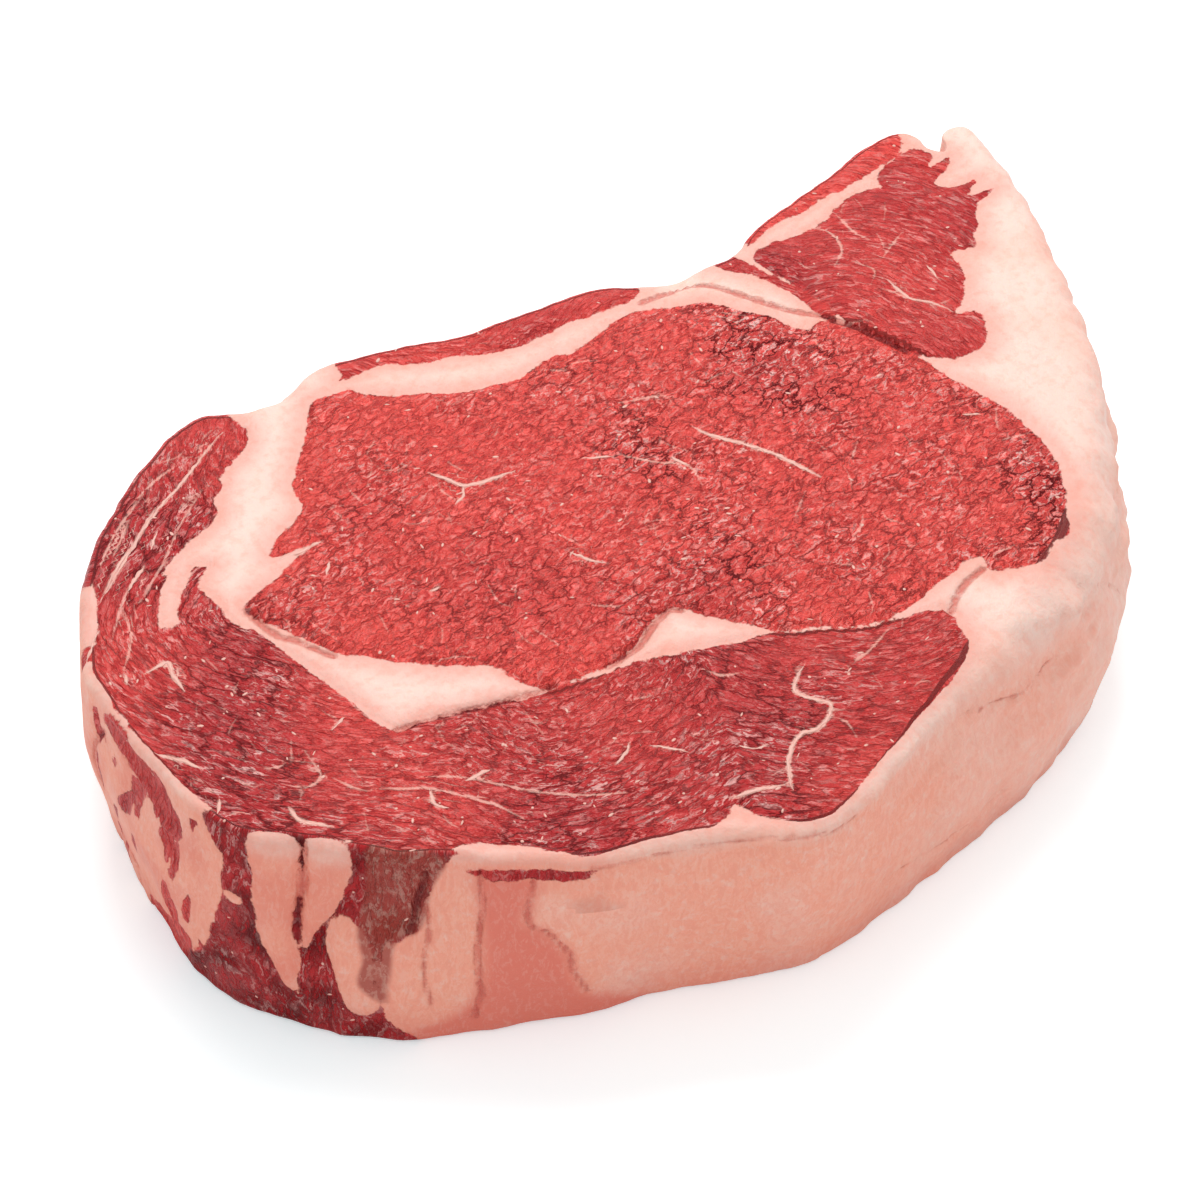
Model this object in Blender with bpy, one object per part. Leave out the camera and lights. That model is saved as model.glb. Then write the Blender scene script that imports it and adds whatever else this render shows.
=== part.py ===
"""A raw boneless ribeye steak, cut thick and lying flat on its lower cut face.

It is one solid. Two cut faces, parallel and nearly flat, are joined by an outer wall that leans in
under the fat cap and out at the torn corner opposite it. +X runs along the steak towards its tail,
+Z is up, and the origin is at the bottom centre of its box.
"""

import math

import bmesh
import bpy
import numpy as np
from mathutils import Vector
from mathutils.geometry import delaunay_2d_cdt

MM = 0.001
THICKNESS = 36.0
RIM_COLUMNS = 170
FACE_SPACING = 3.6
UNDERSIDE_SPACING = 5.2
LEAST_GAP = 0.6
EDGE_ROWS = 3
WALL_ROWS = 7
FOOT_ROUND = 1.6
BULGE_LEAST = 0.8
BULGE_PER_ROUND = 0.25
SWELL = 0.6
LONG_WAVE = (31.0, 27.0)
SHORT_WAVE = (47.0, 13.0)
SHORT_WAVE_SHARE = 0.4
WAVE_START = 0.6
SEAM_DEPTH = 0.8
SEAM_WIDTH = 3.2
LEAN_RED = (0.52, 0.07, 0.06, 1.0)
WET_ROUGHNESS = 0.4

# The rim of the upper cut face, clockwise from the left end: x, y, how far the foot of the wall
# stands outside it (inside where negative), and the radius of the upper edge. All in millimetres.
RIM = (
    (-80.5, 2.0, 3.0, 1.5),
    (-79.5, 11.0, 1.5, 1.5),
    (-78.0, 20.0, 0.0, 1.5),
    (-75.5, 30.0, -1.5, 2.0),
    (-70.0, 38.0, -1.5, 2.0),
    (-63.0, 46.0, -0.5, 2.0),
    (-56.0, 51.5, -1.0, 2.0),
    (-46.0, 56.5, 0.0, 2.0),
    (-36.0, 60.0, 1.0, 2.0),
    (-28.0, 60.0, 1.5, 2.0),
    (-21.5, 55.5, 2.0, 2.0),
    (-15.0, 54.3, 1.0, 2.5),
    (-7.0, 55.0, 1.0, 2.0),
    (2.0, 51.0, 1.5, 1.5),
    (13.0, 45.0, 2.0, 1.5),
    (25.0, 41.0, 2.0, 1.5),
    (37.0, 36.5, 1.0, 1.5),
    (45.0, 29.8, 0.0, 2.0),
    (51.0, 28.8, 0.0, 2.0),
    (57.0, 26.8, 1.0, 1.2),
    (65.0, 29.0, 0.0, 1.2),
    (80.0, 29.3, 0.5, 1.2),
    (93.0, 30.0, 0.0, 1.2),
    (98.0, 28.2, 0.0, 1.0),
    (99.3, 25.3, 0.0, 0.8),
    (98.6, 22.3, 0.0, 0.6),
    (99.8, 19.6, 0.3, 0.6),
    (101.6, 20.6, 0.0, 0.5),
    (102.6, 22.8, 0.0, 0.6),
    (105.5, 23.2, 0.0, 1.0),
    (107.8, 20.5, -1.5, 1.5),
    (106.0, 13.0, -2.5, 3.0),
    (101.2, 1.6, -3.0, 4.0),
    (94.0, -11.5, -3.0, 5.0),
    (84.8, -25.5, -3.0, 6.0),
    (74.0, -38.5, -2.5, 7.0),
    (63.0, -49.5, -1.5, 8.0),
    (52.0, -56.5, 0.0, 8.0),
    (40.0, -60.5, 1.0, 8.0),
    (28.0, -62.0, 1.5, 8.0),
    (15.0, -62.5, 1.8, 5.0),
    (2.0, -63.5, 0.5, 3.0),
    (-10.0, -65.5, -2.0, 2.5),
    (-18.0, -66.0, -3.5, 2.5),
    (-24.5, -63.0, -3.5, 3.0),
    (-31.0, -57.5, -2.0, 3.0),
    (-39.0, -51.5, -1.5, 2.5),
    (-48.0, -46.5, -0.5, 2.0),
    (-54.0, -40.0, 1.5, 1.8),
    (-61.0, -32.0, 4.5, 1.5),
    (-67.0, -25.5, 6.0, 1.2),
    (-71.0, -18.5, 7.0, 1.2),
    (-76.0, -11.8, 5.5, 1.2),
    (-80.0, -6.0, 3.5, 1.5),
)

# The middle lines of the fat seams between the muscles, where the cut faces sink a little.
SEAMS = (
    ((-14.0, 52.0), (-32.0, 42.0), (-46.0, 33.0), (-51.0, 22.0), (-48.0, 2.0), (-38.0, -11.0), (-28.0, -19.0)),
    ((-6.0, 47.0), (4.0, 38.0), (18.0, 32.0), (36.0, 29.0), (50.0, 22.0), (56.0, 9.0), (60.0, -8.0)),
    ((-21.0, -22.0), (-8.0, -25.0), (4.0, -35.0), (16.0, -44.0), (30.0, -47.0)),
)


def clear_scene():
    for obj in list(bpy.data.objects):
        bpy.data.objects.remove(obj)


def curve_through(knots, closed, steps=16):
    """Points of the Catmull-Rom curve through the knots. Columns after x and y are carried along."""
    knots = np.array(knots, float)
    count = len(knots)
    spans = count if closed else count - 1
    share = np.linspace(0.0, 1.0, steps, endpoint=False)[:, None]
    found = []
    for i in range(spans):
        picks = [i - 1, i, i + 1, i + 2]
        picks = [p % count if closed else min(max(p, 0), count - 1) for p in picks]
        before, start, end, after = knots[picks]
        found.append(
            start
            + 0.5 * share * (end - before)
            + share**2 * (before - 2.5 * start + 2 * end - 0.5 * after)
            + share**3 * (1.5 * (start - end) + 0.5 * (after - before))
        )
    points = np.concatenate(found)
    return points if closed else np.vstack([points, knots[-1]])


def spread_evenly(ring, count):
    """A closed ring's rows, resampled to the given number of even steps along it."""
    loop = np.vstack([ring, ring[:1]])
    along = np.concatenate([[0.0], np.cumsum(np.linalg.norm(np.diff(loop[:, :2], axis=0), axis=1))])
    at = np.linspace(0.0, along[-1], count, endpoint=False)
    return np.stack([np.interp(at, along, column) for column in loop.T], axis=1)


def outward(ring):
    """Unit normals of a clockwise ring, pointing away from its inside."""
    ahead = np.roll(ring[:, :2], -1, axis=0) - np.roll(ring[:, :2], 1, axis=0)
    normals = np.stack([-ahead[:, 1], ahead[:, 0]], axis=1)
    return normals / np.linalg.norm(normals, axis=1, keepdims=True)


def wall_sections(rim):
    """Rings of the outer wall from the upper face down to the underside, as (x, y, z) rows."""
    normals = outward(rim)
    place, foot, radius = rim[:, :2], rim[:, 2], rim[:, 3]
    bulge = BULGE_LEAST + BULGE_PER_ROUND * radius
    rings = []
    for turn in np.linspace(0.0, math.pi / 2, EDGE_ROWS, endpoint=False):
        inset = radius * (1 - math.sin(turn))
        height = THICKNESS - radius * (1 - math.cos(turn))
        rings.append((-inset, height))
    for share in np.linspace(0.0, 1.0, WALL_ROWS):
        reach = foot * share * share * (3 - 2 * share) + bulge * math.sin(math.pi * share)
        height = THICKNESS - radius - (THICKNESS - radius - FOOT_ROUND) * share
        rings.append((reach, height))
    for turn in np.linspace(0.0, math.pi / 2, EDGE_ROWS + 1)[1:]:
        reach = foot - FOOT_ROUND * (1 - math.cos(turn))
        height = np.full(len(rim), FOOT_ROUND * (1 - math.sin(turn)))
        rings.append((reach, height))
    return [np.column_stack([place + normals * reach[:, None], height]) for reach, height in rings]


def distance_to(points, line):
    """The distance from each point to a polyline."""
    nearest = np.full(len(points), np.inf)
    for start, end in zip(line[:-1], line[1:]):
        run = end - start
        share = np.clip((points - start) @ run / (run @ run), 0.0, 1.0)
        gap = np.linalg.norm(points - start - share[:, None] * run, axis=1)
        nearest = np.minimum(nearest, gap)
    return nearest


def relief(points, ring):
    """How far the upper cut face stands above its plane: a broad swell and the sunken seams."""
    x, y = points.T
    broad = np.sin(x / LONG_WAVE[0] + WAVE_START) * np.cos(y / LONG_WAVE[1])
    short = np.sin(y / SHORT_WAVE[1] - x / SHORT_WAVE[0])
    height = SWELL * (broad + SHORT_WAVE_SHARE * short)
    for seam in SEAMS:
        gap = distance_to(points, curve_through(seam, closed=False, steps=6))
        height -= SEAM_DEPTH * np.exp(-((gap / SEAM_WIDTH) ** 2))
    inside = distance_to(points, np.vstack([ring, ring[:1]]))
    return height * np.clip(inside / FACE_SPACING, 0.0, 1.0)


def cut_face(ring, spacing):
    """Triangles that fill a ring: (points, faces), the ring's own points first and in order."""
    low, high = ring.min(axis=0), ring.max(axis=0)
    rows = np.arange(low[1], high[1], spacing * math.sqrt(3) / 2)
    columns = np.arange(low[0], high[0], spacing)
    grid = np.array([(x + i % 2 * spacing / 2, y) for i, y in enumerate(rows) for x in columns])
    closed_ring = np.vstack([ring, ring[:1]])
    grid = grid[distance_to(grid, closed_ring) > LEAST_GAP * spacing]
    every = [Vector(p) for p in np.vstack([ring, grid])]
    border = [list(range(len(ring)))]
    points, _, faces, origins, _, _ = delaunay_2d_cdt(every, [], border, 1, 1e-6)
    source = [origin[0] for origin in origins]
    used = sorted({source[v] for face in faces for v in face})
    place = {v: i for i, v in enumerate(used)}
    triangles = [[place[source[v]] for v in face] for face in faces]
    return np.array([every[v][:] for v in used]), triangles


def add_face(bm, edge_verts, ring, spacing, height_of):
    """Fills the hole inside edge_verts with a cut face, whose heights come from height_of."""
    points, triangles = cut_face(ring, spacing)
    heights = height_of(points)
    verts = list(edge_verts)
    for (x, y), z in zip(points[len(ring):], heights[len(ring):]):
        verts.append(bm.verts.new((x * MM, y * MM, z * MM)))
    for triangle in triangles:
        bm.faces.new([verts[i] for i in triangle])


def build_steak():
    rim = spread_evenly(curve_through(RIM, closed=True), RIM_COLUMNS)
    rings = wall_sections(rim)
    bm = bmesh.new()
    loops = [[bm.verts.new((x * MM, y * MM, z * MM)) for x, y, z in ring] for ring in rings]
    for upper, lower in zip(loops[:-1], loops[1:]):
        for i in range(RIM_COLUMNS):
            j = (i + 1) % RIM_COLUMNS
            bm.faces.new((upper[i], upper[j], lower[j], lower[i]))
    top_ring, base_ring = rings[0][:, :2], rings[-1][:, :2]
    add_face(bm, loops[0], top_ring, FACE_SPACING, lambda p: THICKNESS + relief(p, top_ring))
    add_face(bm, loops[-1], base_ring, UNDERSIDE_SPACING, lambda p: np.zeros(len(p)))
    bmesh.ops.recalc_face_normals(bm, faces=bm.faces)
    mesh = bpy.data.meshes.new("steak")
    bm.to_mesh(mesh)
    bm.free()
    centre_on_origin(mesh)
    mesh.shade_smooth()
    return bpy.data.objects.new("steak", mesh)


def centre_on_origin(mesh):
    """Moves the mesh so that the origin is at the bottom centre of its box."""
    places = np.array([v.co for v in mesh.vertices])
    middle = (places.min(axis=0) + places.max(axis=0)) / 2
    shift = Vector((-middle[0], -middle[1], -places[:, 2].min()))
    for vertex in mesh.vertices:
        vertex.co += shift


def lean_material():
    material = bpy.data.materials.new("lean_beef")
    material.use_nodes = True
    surface = material.node_tree.nodes["Principled BSDF"]
    surface.inputs["Base Color"].default_value = LEAN_RED
    surface.inputs["Roughness"].default_value = WET_ROUGHNESS
    surface.inputs["Metallic"].default_value = 0.0
    return material


def main():
    clear_scene()
    home = bpy.data.collections.new("raw_ribeye_steak")
    bpy.context.scene.collection.children.link(home)
    steak = build_steak()
    steak.data.materials.append(lean_material())
    home.objects.link(steak)


main()
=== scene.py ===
import math

import bpy
import numpy as np
from bpy.props import FloatProperty, FloatVectorProperty, IntProperty, PointerProperty
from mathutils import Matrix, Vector, noise
from mathutils.geometry import delaunay_2d_cdt


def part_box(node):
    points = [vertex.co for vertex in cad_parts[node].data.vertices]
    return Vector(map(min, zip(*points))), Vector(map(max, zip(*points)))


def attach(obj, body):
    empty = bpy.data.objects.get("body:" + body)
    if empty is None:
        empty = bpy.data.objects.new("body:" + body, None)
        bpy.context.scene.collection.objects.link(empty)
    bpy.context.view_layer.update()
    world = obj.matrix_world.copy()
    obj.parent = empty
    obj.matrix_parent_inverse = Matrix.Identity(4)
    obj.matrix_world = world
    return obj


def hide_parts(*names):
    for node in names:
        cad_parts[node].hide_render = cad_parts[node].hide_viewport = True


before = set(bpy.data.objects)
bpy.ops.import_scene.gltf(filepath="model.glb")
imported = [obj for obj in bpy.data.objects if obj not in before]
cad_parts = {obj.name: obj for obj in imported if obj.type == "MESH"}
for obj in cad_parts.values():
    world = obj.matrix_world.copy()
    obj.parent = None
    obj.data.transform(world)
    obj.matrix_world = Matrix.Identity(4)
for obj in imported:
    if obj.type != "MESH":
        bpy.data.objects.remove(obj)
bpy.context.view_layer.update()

bl_info = {
    "name": "Raw ribeye steak",
    "version": (1, 0, 0),
    "blender": (4, 5, 0),
    "location": "View3D > Sidebar > Steak",
    "description": "Cuts a raw boneless ribeye steak: lean, fat seams, marbling and its stage",
    "category": "Add Mesh",
}

MM = 0.001
BODY = "root"
NODE = "steak"

# How the wall is rounded and bulged between the two cut faces, in millimetres.
FOOT_ROUND = 1.6
BULGE_LEAST = 0.8
BULGE_PER_ROUND = 0.25
EDGE_ROWS = 8
FOOT_ROWS = 4
LEAST_GAP = 0.6

# The rim of the upper cut face, clockwise from the left end: x, y, how far the foot of the wall
# stands outside it (inside where negative), and the radius of the upper edge. All in millimetres.
RIM = (
    (-80.5, 2.0, 3.0, 1.5),
    (-79.5, 11.0, 1.5, 1.5),
    (-78.0, 20.0, 0.0, 1.5),
    (-75.5, 30.0, -1.5, 2.0),
    (-70.0, 38.0, -1.5, 2.0),
    (-63.0, 46.0, -0.5, 2.0),
    (-56.0, 51.5, -1.0, 2.0),
    (-46.0, 56.5, 0.0, 2.0),
    (-36.0, 60.0, 1.0, 2.0),
    (-28.0, 60.0, 1.5, 2.0),
    (-21.5, 55.5, 2.0, 2.0),
    (-15.0, 54.3, 1.0, 2.5),
    (-7.0, 55.0, 1.0, 2.0),
    (2.0, 51.0, 1.5, 1.5),
    (13.0, 45.0, 2.0, 1.5),
    (25.0, 41.0, 2.0, 1.5),
    (37.0, 36.5, 1.0, 1.5),
    (45.0, 29.8, 0.0, 2.0),
    (51.0, 28.8, 0.0, 2.0),
    (57.0, 26.8, 1.0, 1.2),
    (65.0, 29.0, 0.0, 1.2),
    (80.0, 29.3, 0.5, 1.2),
    (93.0, 30.0, 0.0, 1.2),
    (98.0, 28.2, 0.0, 1.0),
    (99.3, 25.3, 0.0, 0.8),
    (98.6, 22.3, 0.0, 0.6),
    (99.8, 19.6, 0.3, 0.6),
    (101.6, 20.6, 0.0, 0.5),
    (102.6, 22.8, 0.0, 0.6),
    (105.5, 23.2, 0.0, 1.0),
    (107.8, 20.5, -1.5, 1.5),
    (106.0, 13.0, -2.5, 3.0),
    (101.2, 1.6, -3.0, 4.0),
    (94.0, -11.5, -3.0, 5.0),
    (84.8, -25.5, -3.0, 6.0),
    (74.0, -38.5, -2.5, 7.0),
    (63.0, -49.5, -1.5, 8.0),
    (52.0, -56.5, 0.0, 8.0),
    (40.0, -60.5, 1.0, 8.0),
    (28.0, -62.0, 1.5, 8.0),
    (15.0, -62.5, 1.8, 5.0),
    (2.0, -63.5, 0.5, 3.0),
    (-10.0, -65.5, -2.0, 2.5),
    (-18.0, -66.0, -3.5, 2.5),
    (-24.5, -63.0, -3.5, 3.0),
    (-31.0, -57.5, -2.0, 3.0),
    (-39.0, -51.5, -1.5, 2.5),
    (-48.0, -46.5, -0.5, 2.0),
    (-54.0, -40.0, 1.5, 1.8),
    (-61.0, -32.0, 4.5, 1.5),
    (-67.0, -25.5, 6.0, 1.2),
    (-71.0, -18.5, 7.0, 1.2),
    (-76.0, -11.8, 5.5, 1.2),
    (-80.0, -6.0, 3.5, 1.5),
)

# The muscles on the cut faces, as outlines in the same millimetres. Whatever lies between is fat.
EYE = (
    (-50, 24.5), (-47, 25.3), (-42, 25.5), (-38, 26.5), (-35, 27), (-39, 28.5), (-40, 29.5), (-36, 31.5),
    (-31, 33), (-29, 35), (-28, 38), (-25, 40.5), (-20, 44.5), (-16, 48), (-13.5, 49.5), (-10, 48.8),
    (-8, 47.5), (-6.5, 45), (-4, 42), (-1, 39.5), (2, 36.5), (5, 34), (8, 32.5), (12, 30.5), (16, 30),
    (20, 29.5), (22, 28), (26, 28.3), (33, 28.6), (37, 27), (41, 24.5), (45, 22), (47, 18.5), (49, 15),
    (50.5, 12), (50.5, 9), (52, 6.3), (55, 5.5), (57, 4.5), (58.5, 2), (59, -2), (60, -7), (60.3, -12),
    (60.2, -18), (60.8, -22), (61, -27), (60.3, -32), (59.5, -36), (57.5, -41), (54, -45.5), (50, -49.5),
    (47, -52), (44.5, -51.2), (41, -52.8), (37, -51), (33.5, -48.5), (34.5, -45.5), (31, -44.7), (25, -45),
    (19, -45), (14, -43.5), (10, -41), (7, -38), (3, -35), (0, -30), (-3, -24), (-5, -20), (-9, -20),
    (-14, -21.5), (-20, -21.5), (-28.5, -19), (-31, -15), (-31.5, -11), (-33, -8.5), (-37, -5), (-40, -0.5),
    (-43, 3), (-46, 8), (-47.5, 13), (-49, 18), (-49.8, 21),
)
CAP = (
    (-28.5, -19), (-33, -17.5), (-36, -15), (-41, -13), (-46, -10), (-50, -9), (-51, -5), (-51.2, 3),
    (-51.3, 12), (-51.5, 19), (-53, 23), (-52.5, 28), (-51.5, 32.5), (-48, 34.5), (-50, 36.5), (-54, 38),
    (-49, 40), (-44, 40.5), (-40, 42), (-38, 44.5), (-36, 45.5), (-34, 47.5), (-30, 48.5), (-26.5, 50.5),
    (-25, 53.5), (-26, 57.5), (-30, 59.5), (-36, 59.5), (-42, 58), (-48, 55.5), (-55, 52), (-60, 48.5),
    (-64, 41), (-70, 34.5), (-75, 31), (-75.5, 26), (-77.5, 19), (-79, 12), (-79.5, 8), (-80, 3),
    (-80.5, -3), (-79, -8), (-76.5, -11), (-74, -15), (-70, -18.5), (-68, -23), (-64, -28.5), (-61, -31),
    (-57, -32.5), (-53, -37), (-50, -41.5), (-49, -43), (-49, -46), (-45, -47.5), (-40, -50), (-36, -51),
    (-32, -53.5), (-28, -53.5), (-26, -53), (-25.5, -57), (-23.5, -60), (-22.5, -63), (-18, -65), (-14, -64),
    (-8, -62.5), (0, -62), (8, -61), (14, -60), (18, -58), (21, -55), (23, -50), (20, -47), (16, -45.5),
    (12, -43.5), (8, -40), (4, -36.5), (0, -33.5), (-3, -32), (-8, -29), (-13, -26), (-18, -23.5),
    (-21, -22.5), (-25, -20.5),
)
BACK_STRIP = (
    (-5, 53.5), (-6.5, 50.5), (-8, 50), (-4, 48.8), (-0.5, 48), (3, 45), (6, 42.5), (8, 42), (12, 38.5),
    (17, 36), (21, 34.8), (27, 34), (32, 32), (37, 30.5), (41, 31.5), (42.5, 33.5), (40, 35.5), (34, 37),
    (28, 39.5), (25, 41), (20, 41.5), (14, 44), (8, 47.5), (2, 50.5), (-2, 53),
)
SLIVER = (
    (52.5, 28), (56, 27.5), (57, 23), (58, 17), (59, 11), (58.5, 7), (57, 5), (56.5, 9), (57, 14),
    (55.5, 20), (53.5, 25),
)
TAIL = (
    (58, 22.5), (60, 24.3), (63, 24), (67, 22.5), (72, 21.5), (76, 22), (80, 23), (84, 22.3), (86, 21),
    (88, 23.5), (93, 24.5), (97, 24), (98, 20.5), (96, 19), (100, 18.5), (97, 16.5), (93.5, 15.5), (95, 13),
    (99, 11.5), (95, 10), (99, 8), (94, 7.5), (91, 4.5), (88, 3), (86.5, 0.5), (84, 2), (82, 2.5), (81, -1),
    (78, -4), (75, -6.5), (72, -7.5), (74.5, -9), (74, -12), (71, -15), (68, -16), (64, -14.5),
    (61.5, -11), (60, -8), (59, -2), (58.5, 4), (59, 10), (58.5, 16),
)
TAIL_STRIP = (
    (62, 28.5), (60, 26.8), (66, 27), (73, 26), (79, 26), (81, 25), (90, 24.8), (95, 25), (97.5, 27),
    (96, 29.5), (88, 29.5), (76, 29), (68, 29),
)
# Each muscle's outline, how dark its lean is, and how strongly its surface is cracked, from 0 to 1.
MUSCLES = (
    (EYE, 0.0, 1.0),
    (CAP, 0.66, 0.8),
    (BACK_STRIP, 0.55, 0.35),
    (SLIVER, 0.5, 0.2),
    (TAIL, 0.85, 0.55),
    (TAIL_STRIP, 0.35, 0.15),
)
# The smooth tongue of fat that runs into the cap, and fat along the left rim.
FAT_TONGUES = (
    (((-46, 39), (-50, 37.5), (-54, 35.5), (-57, 33), (-59.5, 30.5)), 1.5),
    (((-77, 22), (-79, 12), (-80, 5), (-80, -2)), 0.9),
)
# Open creases between muscles and in the fat, as lines, with how deep each is.
CREASES = (
    (((57, 5), (58.5, 1), (59.5, -4), (60, -8)), 0.7),
    (((38, 29), (43, 27.5), (48, 25), (52, 15), (54, 10), (57, 6)), 0.45),
    (((-20, -21.6), (-14, -22), (-9, -20.6), (-6, -20.2), (-4.5, -21.5)), 0.5),
    (((-49.8, 24), (-50.2, 18), (-48.5, 13), (-47, 8)), 0.5),
    (((23, -50), (28, -48), (33, -47.5)), 0.5),
    (((-28, -18.8), (-33, -17), (-41, -12.8), (-50, -8.8)), 0.35),
)
# The marbling: each vein's line and its half width.
VEINS = (
    (((-12, 25), (-11, 22), (-10, 19), (-6, 17), (-2.5, 15.8)), 0.5),
    (((-10, 19), (-12, 17.5), (-14, 17)), 0.35),
    (((6.5, 10.5), (10, 7.5)), 0.35),
    (((11, 7), (14, 2), (17, -2), (15.5, -6.5)), 0.3),
    (((16.5, 1), (17, -2)), 0.45),
    (((23.5, 3.5), (24, 0), (26, -4), (28, -9), (29, -14), (29.5, -18)), 0.5),
    (((-8.5, -2), (-7.5, -5), (-6, -7.5)), 0.4),
    (((-23, -9), (-22.5, -14)), 0.25),
    (((-28.5, 7), (-27, 6.5)), 0.7),
    (((-22, 20), (-20, 18), (-17, 19)), 0.25),
    (((19, 15), (24, 12), (26, 10)), 0.3),
    (((35, 15), (34, 11)), 0.25),
    (((-40, 28), (-36, 27), (-33, 26)), 0.6),
    (((-35, 22), (-37, 20.5)), 0.35),
    (((55, -24), (57, -26)), 0.4),
    (((55, -32), (60, -34)), 0.3),
    (((0, -42), (-3.5, -43.5), (-5, -45), (-4, -48), (-3, -50), (-5, -51.5), (-8, -52), (-11, -51),
      (-15, -53), (-17, -55), (-19, -57.5)), 0.5),
    (((-5, -51.5), (-4, -54), (-5, -57)), 0.3),
    (((-26, -52), (-22, -54), (-19, -56)), 0.55),
    (((-18, -46), (-17, -48), (-15, -49)), 0.35),
    (((-11, -32), (-10, -35), (-7, -37)), 0.3),
    (((-27, -37), (-25.5, -39), (-24, -42)), 0.35),
    (((-33, -36), (-30, -35.5), (-28.5, -34.5)), 0.4),
    (((-35.5, -41), (-40, -37), (-44, -32), (-47, -27), (-50, -22), (-54, -18)), 0.3),
    (((-50, -23), (-46, -24)), 0.45),
    (((-60, -15), (-57, -18), (-54.5, -20.5), (-52, -25), (-50, -30), (-49, -34)), 0.3),
    (((-54.5, -20.5), (-56, -23), (-55, -25)), 0.55),
    (((-69, -5), (-67, -8), (-64, -8), (-63, -5), (-62.5, -3)), 0.3),
    (((-71, -9), (-71.5, -12), (-69, -16)), 0.6),
    (((-79, -3), (-77, -1)), 0.5),
    (((-63, -9), (-62, -13), (-60, -16)), 0.3),
    (((-57, -2.5), (-54, -2)), 0.4),
    (((-67, 18), (-66, 22), (-65, 24), (-69, 24.5)), 0.5),
    (((-72, 25), (-71, 26.5)), 0.6),
    (((-78, 12), (-76, 8), (-75, 5)), 0.5),
    (((-65, 40), (-60, 42), (-54, 45), (-47, 48), (-40, 50), (-33, 52.5), (-28, 54)), 0.35),
    (((-63, 41), (-57, 44), (-52, 46), (-46, 49)), 0.35),
    (((-58, 45), (-50, 50)), 0.3),
    (((-52, 43), (-49, 45)), 0.35),
    (((-50, 51), (-44, 53), (-38, 53.5)), 0.3),
    (((-60, 39), (-55, 41)), 0.45),
    (((66, 13), (70, 15), (71.5, 19), (70.5, 22.5)), 0.3),
    (((75, 13), (74.5, 17), (76, 22)), 0.3),
    (((-60, 36), (-52, 40), (-45, 44), (-38, 47)), 0.25),
    (((-70, 38), (-62, 44), (-54, 49), (-46, 52)), 0.3),
    (((-68, 33), (-63, 37), (-58, 40)), 0.3),
    (((-74, 32), (-68, 36)), 0.4),
    (((-71, 27), (-66, 31), (-63, 36)), 0.3),
    (((14, -46), (8, -47), (3, -46.5)), 0.3),
    (((70, 5), (69, 0), (71, -4), (72, -7)), 0.35),
    (((76, -0.5), (77, 3)), 0.35),
    (((73, 9), (78, 10.5), (80, 11)), 0.3),
    (((69, 12), (70, 8), (67, 6)), 0.25),
)

# Patches on the wall, in millimetres along it from the left end round the front, and of height.
WALL_LEAN = (
    ((4.6, 37), (5.5, 32), (7.6, 30), (7.2, 26), (7.6, 23), (6.4, 19), (5.2, 13), (3.5, 8), (0, 4), (-3, -2),
     (33, -2), (31.5, 6), (30.5, 12), (31, 20), (33, 21), (35.5, 23), (37, 28), (38, 32), (40.5, 35),
     (41, 38)),
    ((-23, 33), (-20, 35.5), (-12, 34), (-6, 33), (-2, 31), (-1, 28), (-2.5, 26), (-6, 26.5), (-10, 28.5),
     (-14, 29), (-18, 31)),
    ((-15, 29), (-11, 28), (-12, 24), (-14, 21), (-17, 19), (-18, 21), (-15, 25)),
    ((-5, 27), (-1.5, 27), (-1, 22), (-2, 18), (-4, 20), (-6, 24)),
    ((-12, -2), (-10, 5), (-6, 8), (-1, 10), (1.5, 9), (2, 4), (0, -2)),
    ((42, 33.4), (46, 34), (52, 34.1), (58, 34.3), (61, 33.9), (58, 33), (54, 32.4), (48, 32), (43, 32.3)),
)
WALL_FAT = (
    ((11.5, 36), (18.2, 35.8), (18.6, 30), (18.2, 25), (17.4, 20), (18.4, 15), (17.8, 11), (18.3, 9),
     (15.8, 10.5), (13.7, 15), (12.2, 20), (11.4, 27)),
    ((19.2, 36), (25.2, 36), (25.8, 32), (24.8, 26), (21.5, 21), (19, 17), (18.6, 22), (19.1, 29)),
    ((24, 24), (26.6, 24.5), (28, 22), (29.4, 19), (30.4, 14), (31, 9), (29.5, 6.5), (26.5, 8),
     (24.8, 13), (22.8, 17), (22.6, 20.5)),
    ((8.3, 24.6), (9.4, 24), (9.8, 22.6), (8.6, 22.6), (7.6, 23.6)),
    ((-13, 24), (-7, 24.5), (-3, 22), (-4, 18.5), (-9, 17), (-14, 19)),
)
WALL_MEMBRANE = (
    (28.7, 36.2), (39, 35), (37.4, 29), (35.4, 22.5), (32.6, 20.5), (32, 14), (31.2, 9), (28, 13),
    (28.6, 18), (27.4, 22.5), (28.4, 29),
)
WALL_BRUISE = ((54, 30), (58, 32), (66, 31), (68, 28), (63, 25.5), (57, 26.5))
WALL_SALMON = (
    (44, 33), (52, 32.5), (51.4, 27), (50.8, 24), (53.5, 22), (56.5, 17.5), (57.6, 12), (59.5, 7), (66, 3),
    (70, -2), (33, -2), (34, 3), (40, 5.5), (44, 11), (44.6, 22),
)
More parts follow.
